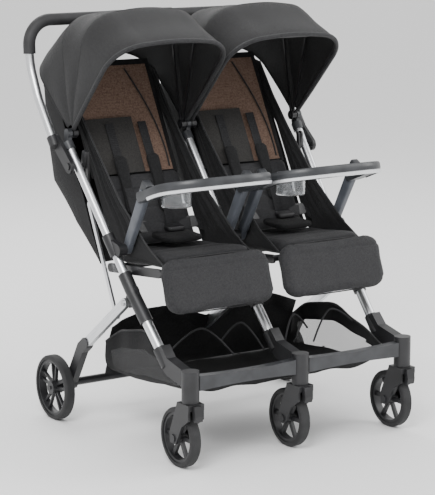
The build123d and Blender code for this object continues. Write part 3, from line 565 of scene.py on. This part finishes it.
def sew(piece, away, width, depth, toward, where=None):
    """Draws the cover in along a seam: away gives each point's distance from it."""
    for vertex in piece.data.vertices:
        if where is not None and not where(vertex.co):
            continue
        pull = depth * math.exp(-(away(vertex.co) / width) ** 2)
        vertex.co += Vector(toward) * pull


def settle(piece, matrix, material):
    piece.data.transform(matrix)
    select_only(piece)
    bpy.ops.object.shade_smooth()
    piece.data.materials.clear()
    piece.data.materials.append(material)


def plane_at(x, y, z, angle):
    """Local X across, local Y along an angle from +Y towards +Z, local Z out of that plane."""
    return Matrix.Translation((x, y, z)) @ Matrix.Rotation(math.radians(angle), 4, "X")


def soften(piece, width, segments):
    """Rounds the edges of a moulded piece."""
    edge = piece.modifiers.new("edge", "BEVEL")
    edge.width = width
    edge.segments = segments
    apply_all(piece)


def twin(piece, name):
    """Copy of a piece with its own mesh."""
    other = piece.copy()
    other.data = piece.data.copy()
    other.name = name
    bpy.context.scene.collection.objects.link(other)
    return other


# Calf rests: a seam runs below the top edge, and piping runs round the rim.
CALF_SIZE = (0.314, 0.140, 0.020)
CALF_TILT = 72.0
CALF_OUTLINE = 0.46             # power of the rounded outline that the piping follows
PIPING_INSET = 0.0005
calf = puff(block("left_calf_pad", CALF_SIZE, 0.042, 8), 0.005, 0.007)
sew(calf, lambda p: p.y - 0.040, 0.004, 0.0022, (0, 0, -1), lambda p: p.z > 0)
for vertex in calf.data.vertices:
    rough = noise.noise(Vector((vertex.co.x * 26, vertex.co.y * 26, 3.1)))
    vertex.co.z += 0.0010 * rough * (1 if vertex.co.z > 0 else 0)
calf_wide = max(vertex.co.x for vertex in calf.data.vertices) - PIPING_INSET
calf_tall = max(vertex.co.y for vertex in calf.data.vertices) - PIPING_INSET
calf_pads = {"left": calf, "right": twin(calf, "right_calf_pad")}
for side, pad in calf_pads.items():
    low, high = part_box(side + "_calf_rest")
    middle = (low + high) / 2
    lie = plane_at(middle.x, middle.y, middle.z, CALF_TILT)
    settle(pad, lie, pad_cloth)
    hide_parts(side + "_calf_rest")
    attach(pad, side + "_calf")
    edge = []
    for step in range(48):
        turn = 2 * math.pi * step / 48
        edge.append(lie @ Vector((
            calf_wide * math.copysign(abs(math.cos(turn)) ** CALF_OUTLINE, math.cos(turn)),
            calf_tall * math.copysign(abs(math.sin(turn)) ** CALF_OUTLINE, math.sin(turn)), 0.001)))
    calf_piping = cord_piece(side + "_calf_piping", edge, 0.0016, piping_cloth, closed=True)
    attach(calf_piping, side + "_calf")

# Seat cushions: a crowned pad with three channels across.
SEAT_X = 0.167
SEAT_Y, SEAT_Z = -0.0946, 0.4612
SEAT_ANGLE = math.degrees(math.atan2(0.432 - 0.456, 0.240))
SEAT_SIZE = (0.249, 0.236, 0.026)
SEAT_CHANNELS = (-0.045, 0.010, 0.062)
cushion = puff(block("left_seat_cushion", SEAT_SIZE, 0.022), 0.0055, 0.006)
for line in SEAT_CHANNELS:
    sew(cushion, lambda p, line=line: p.y - line, 0.005, 0.0030, (0, 0, -1), lambda p: p.z > 0.004)
cushions = {"left": cushion, "right": twin(cushion, "right_seat_cushion")}
for side, pad in cushions.items():
    x = SEAT_X if side == "right" else -SEAT_X
    settle(pad, plane_at(x, SEAT_Y, SEAT_Z, SEAT_ANGLE), pad_cloth)
    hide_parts("seat_pads")
    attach(pad, "frame")

# ---- Backrests ----------------------------------------------------------------------------------
# Lower half: a quilted back cushion. Upper half: tan air mesh stretched in a black canvas surround,
# with a grey flap over part of it. All of it hangs on the reclining back frame.
BACK_ANGLE = 62.0
BACK_START = 0.008
LOWER_LEN = 0.205
NET_WIDE, NET_TALL = 0.222, 0.292
FLAP_WIDE, FLAP_TALL = 0.136, 0.150
SURROUND_WIDE, SURROUND_TALL = 0.250, 0.312
lower = puff(block("left_back_cushion", (0.246, LOWER_LEN - 0.008, 0.014), 0.018), 0.005, 0.0055)
for line in (-0.050, 0.0, 0.050):
    sew(lower, lambda p, line=line: p.y - line, 0.004, 0.0026, (0, 0, -1), lambda p: p.z > 0.002)
back_cushions = {"left": lower, "right": twin(lower, "right_back_cushion")}
for side in ("left", "right"):
    hinge = joint_at[side + "_recline"]
    body = side + "_back"
    along_back = plane_at(hinge.x, hinge.y, hinge.z, BACK_ANGLE)
    pad = back_cushions[side]
    settle(pad, along_back @ Matrix.Translation((0, BACK_START + LOWER_LEN / 2, 0.0115)), pad_cloth)
    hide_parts(side + "_backrest")
    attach(pad, body)

    def net_spot(u, v, m=along_back):
        sag = -0.004 * math.sin(math.pi * u) * math.sin(math.pi * v)
        return m @ Vector(((u - 0.5) * NET_WIDE, LOWER_LEN + 0.004 + v * NET_TALL, 0.009 + sag))

    net = sheet_grid(side + "_back_net", 24, 30, net_spot)
    thicken(net, 0.0012, tan_net)
    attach(net, body)

    rail = sheet_grid(side + "_back_surround", 28, 36, lambda u, v, m=along_back: m @ Vector((
        (u - 0.5) * SURROUND_WIDE, LOWER_LEN + v * SURROUND_TALL, 0.004 + 0.002 * math.sin(math.pi * u))))
    bpy.ops.object.mode_set(mode="EDIT")
    bpy.ops.mesh.select_mode(type="FACE")
    bpy.ops.mesh.select_all(action="DESELECT")
    bpy.ops.object.mode_set(mode="OBJECT")
    inverse = along_back.inverted()
    for face in rail.data.polygons:
        spot = inverse @ face.center
        face.select = abs(spot.x) < 0.103 and LOWER_LEN + 0.014 < spot.y < LOWER_LEN + 0.286
    bpy.ops.object.mode_set(mode="EDIT")
    bpy.ops.mesh.delete(type="FACE")
    bpy.ops.object.mode_set(mode="OBJECT")
    thicken(rail, 0.006, canvas)
    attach(rail, body)

    flap = sheet_grid(side + "_back_flap", 20, 24, lambda u, v, m=along_back: m @ Vector((
        -0.112 + u * FLAP_WIDE, LOWER_LEN + 0.002 + v * FLAP_TALL,
        0.0155 + 0.0035 * math.sin(math.pi * u) * math.sin(math.pi * v))))
    thicken(flap, 0.0022, flap_cloth)
    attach(flap, body)

    bead = []
    for t in range(17):
        across = 0.030 + 0.072 * math.sin(t * math.pi / 16 * 0.5 + 0.2)
        bead.append(along_back @ Vector((across, LOWER_LEN + 0.285 - t * 0.017, 0.0125)))
    net_piping = cord_piece(side + "_net_piping", bead, 0.0019, piping_cloth)
    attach(net_piping, body)

# Harness: two shoulder pads with webbing through them, hip webbing, a crotch pad and its buckle.
STRAP_WIDE = 0.024
PAD_PLACE = Vector((0.048, 0.172, 0.0275))
strap_pad = puff(block("left_shoulder_pad_a", (0.040, 0.160, 0.007), 0.016), 0.0035, 0.003)
shoulder_pads = {("left", "a"): strap_pad}
for side, mark in (("left", "b"), ("right", "a"), ("right", "b")):
    shoulder_pads[side, mark] = twin(strap_pad, f"{side}_shoulder_pad_{mark}")
for side in ("left", "right"):
    hinge = joint_at[side + "_recline"]
    along_back = plane_at(hinge.x, hinge.y, hinge.z, BACK_ANGLE)
    for mark, way in (("a", -1), ("b", 1)):
        offset = way * PAD_PLACE.x
        pad = shoulder_pads[side, mark]
        settle(pad, along_back @ Matrix.Translation((offset, PAD_PLACE.y, PAD_PLACE.z)), canvas)
        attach(pad, side + "_back")

        def strap_spot(u, v, m=along_back, o=offset):
            if v < 0.62:
                lift = 0.0215 + 0.0125 * math.sin(math.pi * min(1, v * 1.6)) ** 0.5
            else:
                lift = 0.0225 - 0.006 * (v - 0.62)
            return m @ Vector((o + (u - 0.5) * STRAP_WIDE, 0.040 + v * 0.300, lift))

        strap = sheet_grid(f"{side}_shoulder_strap_{mark}", 3, 30, strap_spot)
        thicken(strap, 0.0014, webbing)
        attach(strap, side + "_back")

CROTCH_ANGLE = SEAT_ANGLE + 8.0
CROTCH_Y, CROTCH_Z = -0.0590, 0.5010
belly = puff(block("left_crotch_pad", (0.108, 0.092, 0.015), 0.020), 0.0045, 0.0045)
belly_pads = {"left": belly, "right": twin(belly, "right_crotch_pad")}
for side, sign in (("left", -1), ("right", 1)):
    lie = plane_at(sign * SEAT_X, CROTCH_Y, CROTCH_Z, CROTCH_ANGLE)
    settle(belly_pads[side], lie, canvas)
    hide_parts("crotch_buckles")
    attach(belly_pads[side], "frame")
    buckle = block(side + "_buckle", (0.050, 0.042, 0.011), 0.010, 4)
    soften(buckle, 0.003, 3)
    buckle.data.transform(lie @ Matrix.Translation((0, 0.018, 0.0185)))
    bpy.ops.object.shade_smooth_by_angle(angle=math.radians(40))
    buckle.data.materials.append(dark_plastic)
    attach(buckle, "frame")
    for mark, way in (("a", -1), ("b", 1)):
        hip = sheet_grid(f"{side}_hip_strap_{mark}", 3, 24, lambda u, v, s=sign, w=way: (
            s * SEAT_X + w * (0.022 + v * 0.100),
            -0.040 + 0.050 * v + (u - 0.5) * 0.012,
            0.520 - 0.018 * v + 0.012 * math.sin(math.pi * v) + (u - 0.5) * 0.022))
        thicken(hip, 0.0014, webbing)
        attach(hip, "frame")
        slide = block(f"{side}_hip_slide_{mark}", (0.026, 0.030, 0.006), 0.006, 3)
        slide.data.transform(Matrix.Translation((sign * SEAT_X + way * 0.072, -0.015, 0.524))
                             @ Matrix.Rotation(math.radians(55), 4, "X"))
        slide.data.materials.append(dark_plastic)
        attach(slide, "frame")


# ---- Rear pouches -------------------------------------------------------------------------------
# Canvas bags behind the backrests that give the child room to lie back. Each is a loft of closed
# hoops from the seat to the canopy, slack at the sides, and it hangs from the back frame.
POUCH_HALF = 0.144
POUCH_X = 0.17425
POUCH_FRONT = [(0.052, 0.428), (0.094, 0.500), (0.172, 0.644), (0.250, 0.790), (0.290, 0.868)]
POUCH_BACK = [(0.070, 0.431), (0.240, 0.520), (0.362, 0.590), (0.386, 0.700), (0.385, 0.830)]
for side, sign in (("left", -1), ("right", 1)):
    centre = sign * POUCH_X

    def pouch_spot(u, v, c=centre):
        front, back = on_path(POUCH_FRONT, v), on_path(POUCH_BACK, v)
        turn = math.pi * u
        power = 0.55
        out = POUCH_HALF * math.copysign(abs(math.cos(turn)) ** power, -math.cos(turn))
        deep = abs(math.sin(turn)) ** power
        y, z = front.lerp(back, deep)
        slack = noise.noise(Vector((out * 12, v * 5.0, c * 9))) * 0.006
        drape = 0.004 * math.sin(out * 70 + v * 5)
        return (c + out, y - abs(slack) - abs(drape) * deep, z + slack * 0.5)

    pouch = sheet_grid(side + "_pouch", 48, 36, pouch_spot)
    thicken(pouch, 0.0016, canvas)
    hem = [Vector(pouch_spot(step / 40, 1.0)) for step in range(41)]
    join(pouch, cord_piece(side + "_pouch_hem", hem, 0.0022, canvas))
    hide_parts("back_pouches")
    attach(pouch, side + "_back")


# ---- Basket -------------------------------------------------------------------------------------
# One wide canvas bag under both seats: it sags between the frames and has a see-through net window
# in each side, under a black band. Cords run across the rear wall.
BASKET_HALF = 0.291
BASKET_TOP = [(-0.322, 0.204), (-0.290, 0.222), (-0.206, 0.252),
              (-0.101, 0.286), (0.020, 0.262), (0.084, 0.222)]
BASKET_FLOOR = [(-0.322, 0.202), (-0.292, 0.170), (-0.206, 0.151),
                (-0.101, 0.138), (0.020, 0.128), (0.098, 0.131)]
BASKET_LOWEST = 0.1265          # clear of the axle tube


def basket_spot(u, v):
    top, bottom = on_path(BASKET_TOP, v), on_path(BASKET_FLOOR, v)
    turn = math.pi * u
    power = 0.34
    out = -BASKET_HALF * math.copysign(abs(math.cos(turn)) ** power, math.cos(turn))
    drop = abs(math.sin(turn)) ** power
    y, z = top.lerp(bottom, drop)
    sag = 0.006 * drop * math.sin(2 * math.pi * abs(out) / BASKET_HALF) ** 2
    crumple = noise.noise(Vector((out * 13, y * 13, z * 13))) * 0.006
    side_fold = (1 - drop) * 0.003 * math.sin(y * 60)
    inset = 0.004 + abs(crumple) * 0.5
    x = out - math.copysign(inset + side_fold, out) if abs(out) > 0.05 else out
    return (x, y, max(z - sag + crumple * drop * 0.7, BASKET_LOWEST))


net_cloth, nodes, links, shader = paint("basket_net", 0.7)
threads = weave(nodes, links, 260)
tint(nodes, links, shader, threads, (0.020, 0.020, 0.021), (0.070, 0.070, 0.072), 0.2, 0.9)
emboss(nodes, links, shader, threads, 0.5, 0.0008)
shader.inputs["Alpha"].default_value = 0.38


def side_top(y):
    """Height of the bag's side edge over y."""
    for (y0, z0), (y1, z1) in zip(BASKET_TOP, BASKET_TOP[1:]):
        if y <= y1:
            return z0 + (z1 - z0) * (y - y0) / (y1 - y0)
    return BASKET_TOP[-1][1]


basket = sheet_grid("cargo_basket", 84, 64, basket_spot)
thicken(basket, 0.0016, canvas)
basket.data.materials.append(net_cloth)
for face in basket.data.polygons:
    x, y, z = face.center
    if abs(x) > 0.270 and -0.270 < y < 0.060 and 0.150 < z < side_top(y) - 0.030:
        face.material_index = 1
left_rim = [Vector(basket_spot(0.0, step / 24)) for step in range(25)]
right_rim = [Vector(basket_spot(1.0, step / 24)) for step in range(25)]
front_rim = [Vector(basket_spot(step / 40, 0.0)) for step in range(41)]
rims = [cord_piece("basket_rim_left", left_rim, 0.0026, piping_cloth),
        cord_piece("basket_rim_right", right_rim, 0.0026, piping_cloth),
        cord_piece("basket_rim_front", front_rim, 0.0026, canvas)]
join(basket, *rims)
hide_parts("basket")
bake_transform(basket)

def rear_top(x):
    """Height of the band's lower edge: one arch under each seat."""
    return 0.226 + 0.040 * abs(math.sin(math.pi * x / 0.300)) ** 1.2


def rear_wall_spot(u, v):
    x = (u - 0.5) * 2 * (BASKET_HALF - 0.008)
    low, high = 0.132, rear_top(x)
    z = low + (high - low) * v
    y = 0.100 - 0.022 * v - 0.006 * math.sin(math.pi * v) + noise.noise(Vector((x * 15, v * 3, 2))) * 0.003
    return (x, y, z)


rear_wall = sheet_grid("basket_rear_wall", 70, 14, rear_wall_spot)
thicken(rear_wall, 0.0016, canvas)
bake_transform(rear_wall)


def band_spot(u, v):
    x = (u - 0.5) * 2 * (BASKET_HALF - 0.006)
    z = rear_top(x) - 0.004 + 0.036 * v
    fold = 0.003 * math.sin(x * 95) + noise.noise(Vector((x * 20, z * 20, 5))) * 0.004
    return (x, 0.078 - 0.016 * v + fold, min(z, 0.298))


band = sheet_grid("basket_band", 90, 8, band_spot)
thicken(band, 0.0020, canvas)
snaps = []
for x in (-0.262, -0.150, -0.040, 0.040, 0.150, 0.262):
    bpy.ops.mesh.primitive_cylinder_add(
        vertices=20, radius=0.0052, depth=0.004,
        location=(x, 0.079, rear_top(x) + 0.014), rotation=(math.radians(78), 0, 0))
    snap = bpy.context.object
    bpy.ops.object.transform_apply(location=True, rotation=True, scale=True)
    snap.data.materials.append(dark_plastic)
    snaps.append(snap)
join(band, *snaps)
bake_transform(band)
LACES = ((0.075, 0.03), (0.150, -0.02), (0.225, 0.03), (-0.075, -0.03), (-0.150, 0.02))
LACE_FOOT = 0.135
for index, (x, lean) in enumerate(LACES):
    climb = rear_top(x) - LACE_FOOT
    run = [Vector((x + lean * t, 0.084 + 0.014 * (1 - t), LACE_FOOT + climb * t)) for t in (0, 0.3, 0.6, 1.0)]
    lace = cord_piece(f"basket_lace_{index}", run, 0.0011, canvas)
    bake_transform(lace)

# Elastic hangers from the seat rails to the basket's front edge.
for index, (x0, x1) in enumerate(((-0.270, -0.120), (-0.130, -0.030), (0.130, 0.030), (0.270, 0.120))):
    hang = [Vector((x0, -0.200, 0.258)), Vector(((x0 * 2 + x1) / 3, -0.205, 0.300)),
            Vector(((x0 + 2 * x1) / 3, -0.215, 0.300)), Vector((x1, -0.240, 0.232))]
    elastic = cord_piece(f"basket_hanger_{index}", hang, 0.0024, webbing)
    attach(elastic, "frame")


# ---- Bumper trays -------------------------------------------------------------------------------
# Moulded trays: a U of grey nylon with a dished top, a bright edge strip let into the lower outer
# edge, and sockets at both ends that slide on the arms. A blue-grey shell is clipped round each arm.
def bent_band(name, path, profile, material):
    """Sweeps a closed profile of (out, up) points along a path, upright all the way."""
    rows = []
    for index, spot in enumerate(path):
        ahead = path[min(index + 1, len(path) - 1)]
        behind = path[max(index - 1, 0)]
        run = (ahead - behind).normalized()
        outward = Vector((-run.y, run.x, 0))
        rows.append([spot + outward * out + Vector((0, 0, up)) for out, up in profile])
    mesh = bpy.data.meshes.new(name)
    count = len(profile)
    points = [tuple(p) for row in rows for p in row]
    faces = []
    for index in range(len(rows) - 1):
        here, there = index * count, (index + 1) * count
        for step in range(count):
            after = (step + 1) % count
            faces.append((here + step, here + after, there + after, there + step))
    faces.append(tuple(range(count)))
    faces.append(tuple(reversed([(len(rows) - 1) * count + step for step in range(count)])))
    mesh.from_pydata(points, [], faces)
    piece = bpy.data.objects.new(name, mesh)
    bpy.context.scene.collection.objects.link(piece)
    select_only(piece)
    face_outward()
    bpy.ops.object.shade_smooth_by_angle(angle=math.radians(40))
    mesh.materials.append(material)
    return piece


TRAY_TILT = 12.0
TRAY_Y, TRAY_Z = -0.14657, 0.63683
SOCKET_Y, SOCKET_Z = -0.1474, 0.6375
ARM_LEAN = 29.3
ARM_HALF = 0.007
SHELL_LEN = 0.150
TRAY_HALF = 0.1437
TRAY_REACH = 0.147
TRAY_CORNER = 0.100
TRAY_DROOP = 0.012              # the ends curve down into the sockets
TRAY_PROFILE = [(-0.0185, 0.008), (-0.0185, -0.008), (-0.0150, -0.0140), (0.0120, -0.0150), (0.0175, -0.0110),
                (0.0195, -0.0020), (0.0190, 0.0080), (0.0160, 0.0125), (0.0120, 0.0125), (0.0070, 0.0085),
                (-0.0090, 0.0085), (-0.0130, 0.0125), (-0.0165, 0.0120)]
STRIP_PROFILE = [(0.0120, -0.0168), (0.0180, -0.0152), (0.0204, -0.0080), (0.0175, -0.0060), (0.0120, -0.0130)]
tray_path = []
for step in range(8):
    tray_path.append(Vector((-TRAY_HALF, 0.014 - (TRAY_REACH - TRAY_CORNER + 0.014) * step / 8, 0)))
for step in range(17):
    turn = math.pi / 2 * step / 16
    tray_path.append(Vector((-TRAY_HALF + TRAY_CORNER - TRAY_CORNER * math.cos(turn),
                             -TRAY_REACH + TRAY_CORNER - TRAY_CORNER * math.sin(turn), 0)))
tray_path += [Vector((-p.x, p.y, 0)) for p in reversed(tray_path)]
for spot in tray_path:
    spot.z = -TRAY_DROOP * smooth_step(spot.y, -0.100, 0.014)
for side in ("left", "right"):
    low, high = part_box(side + "_tray_arms")
    centre = (low.x + high.x) / 2
    lie = Matrix.Translation((centre, TRAY_Y, TRAY_Z)) @ Matrix.Rotation(-math.radians(TRAY_TILT), 4, "X")
    tray = bent_band(side + "_bumper", tray_path, [(-o, u) for o, u in TRAY_PROFILE], grey_plastic)
    tray.data.transform(lie)
    strip = bent_band(side + "_bumper_strip", tray_path[6:-6], [(-o, u) for o, u in STRIP_PROFILE],
                      node["lower_legs"].data.materials[0])
    strip.data.transform(lie)
    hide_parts(side + "_tray")
    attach(tray, side + "_tray")
    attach(strip, side + "_tray")
    foot = joint_at[side + "_tray_swing"]
    for index, x in enumerate((low.x + ARM_HALF, high.x - ARM_HALF)):
        shell = block(f"{side}_arm_shell_{index}", (0.0200, 0.0300, SHELL_LEN), 0.006)
        soften(shell, 0.004, 3)
        for vertex in shell.data.vertices:
            vertex.co.y *= 1.0 - 1.3 * (SHELL_LEN / 2 - vertex.co.z)
        middle = Vector((x, foot.y, foot.z)).lerp(Vector((x, SOCKET_Y, SOCKET_Z)), 0.54)
        shell.data.transform(Matrix.Translation(middle) @ Matrix.Rotation(math.radians(ARM_LEAN), 4, "X"))
        bpy.ops.object.shade_smooth_by_angle(angle=math.radians(40))
        shell.data.materials.append(arm_plastic)
        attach(shell, side + "_arms")
        socket = block(f"{side}_socket_{index}", (0.024, 0.050, 0.026), 0.006, 4)
        soften(socket, 0.004, 3)
        socket.data.transform(plane_at(x, SOCKET_Y, SOCKET_Z, 90 + ARM_LEAN))
        bpy.ops.object.shade_smooth_by_angle(angle=math.radians(40))
        socket.data.materials.append(grey_plastic)
        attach(socket, side + "_tray")
        bpy.ops.mesh.primitive_cylinder_add(
            vertices=28, radius=0.0055, depth=0.030,
            location=(x, SOCKET_Y, SOCKET_Z), rotation=(0, math.radians(90), 0))
        rivet = bpy.context.object
        rivet.name = f"{side}_socket_button_{index}"
        soften(rivet, 0.0012, 2)
        bpy.ops.object.transform_apply(location=True, rotation=True, scale=True)
        bpy.ops.object.shade_smooth_by_angle(angle=math.radians(40))
        rivet.data.materials.append(arm_plastic)
        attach(rivet, side + "_tray")
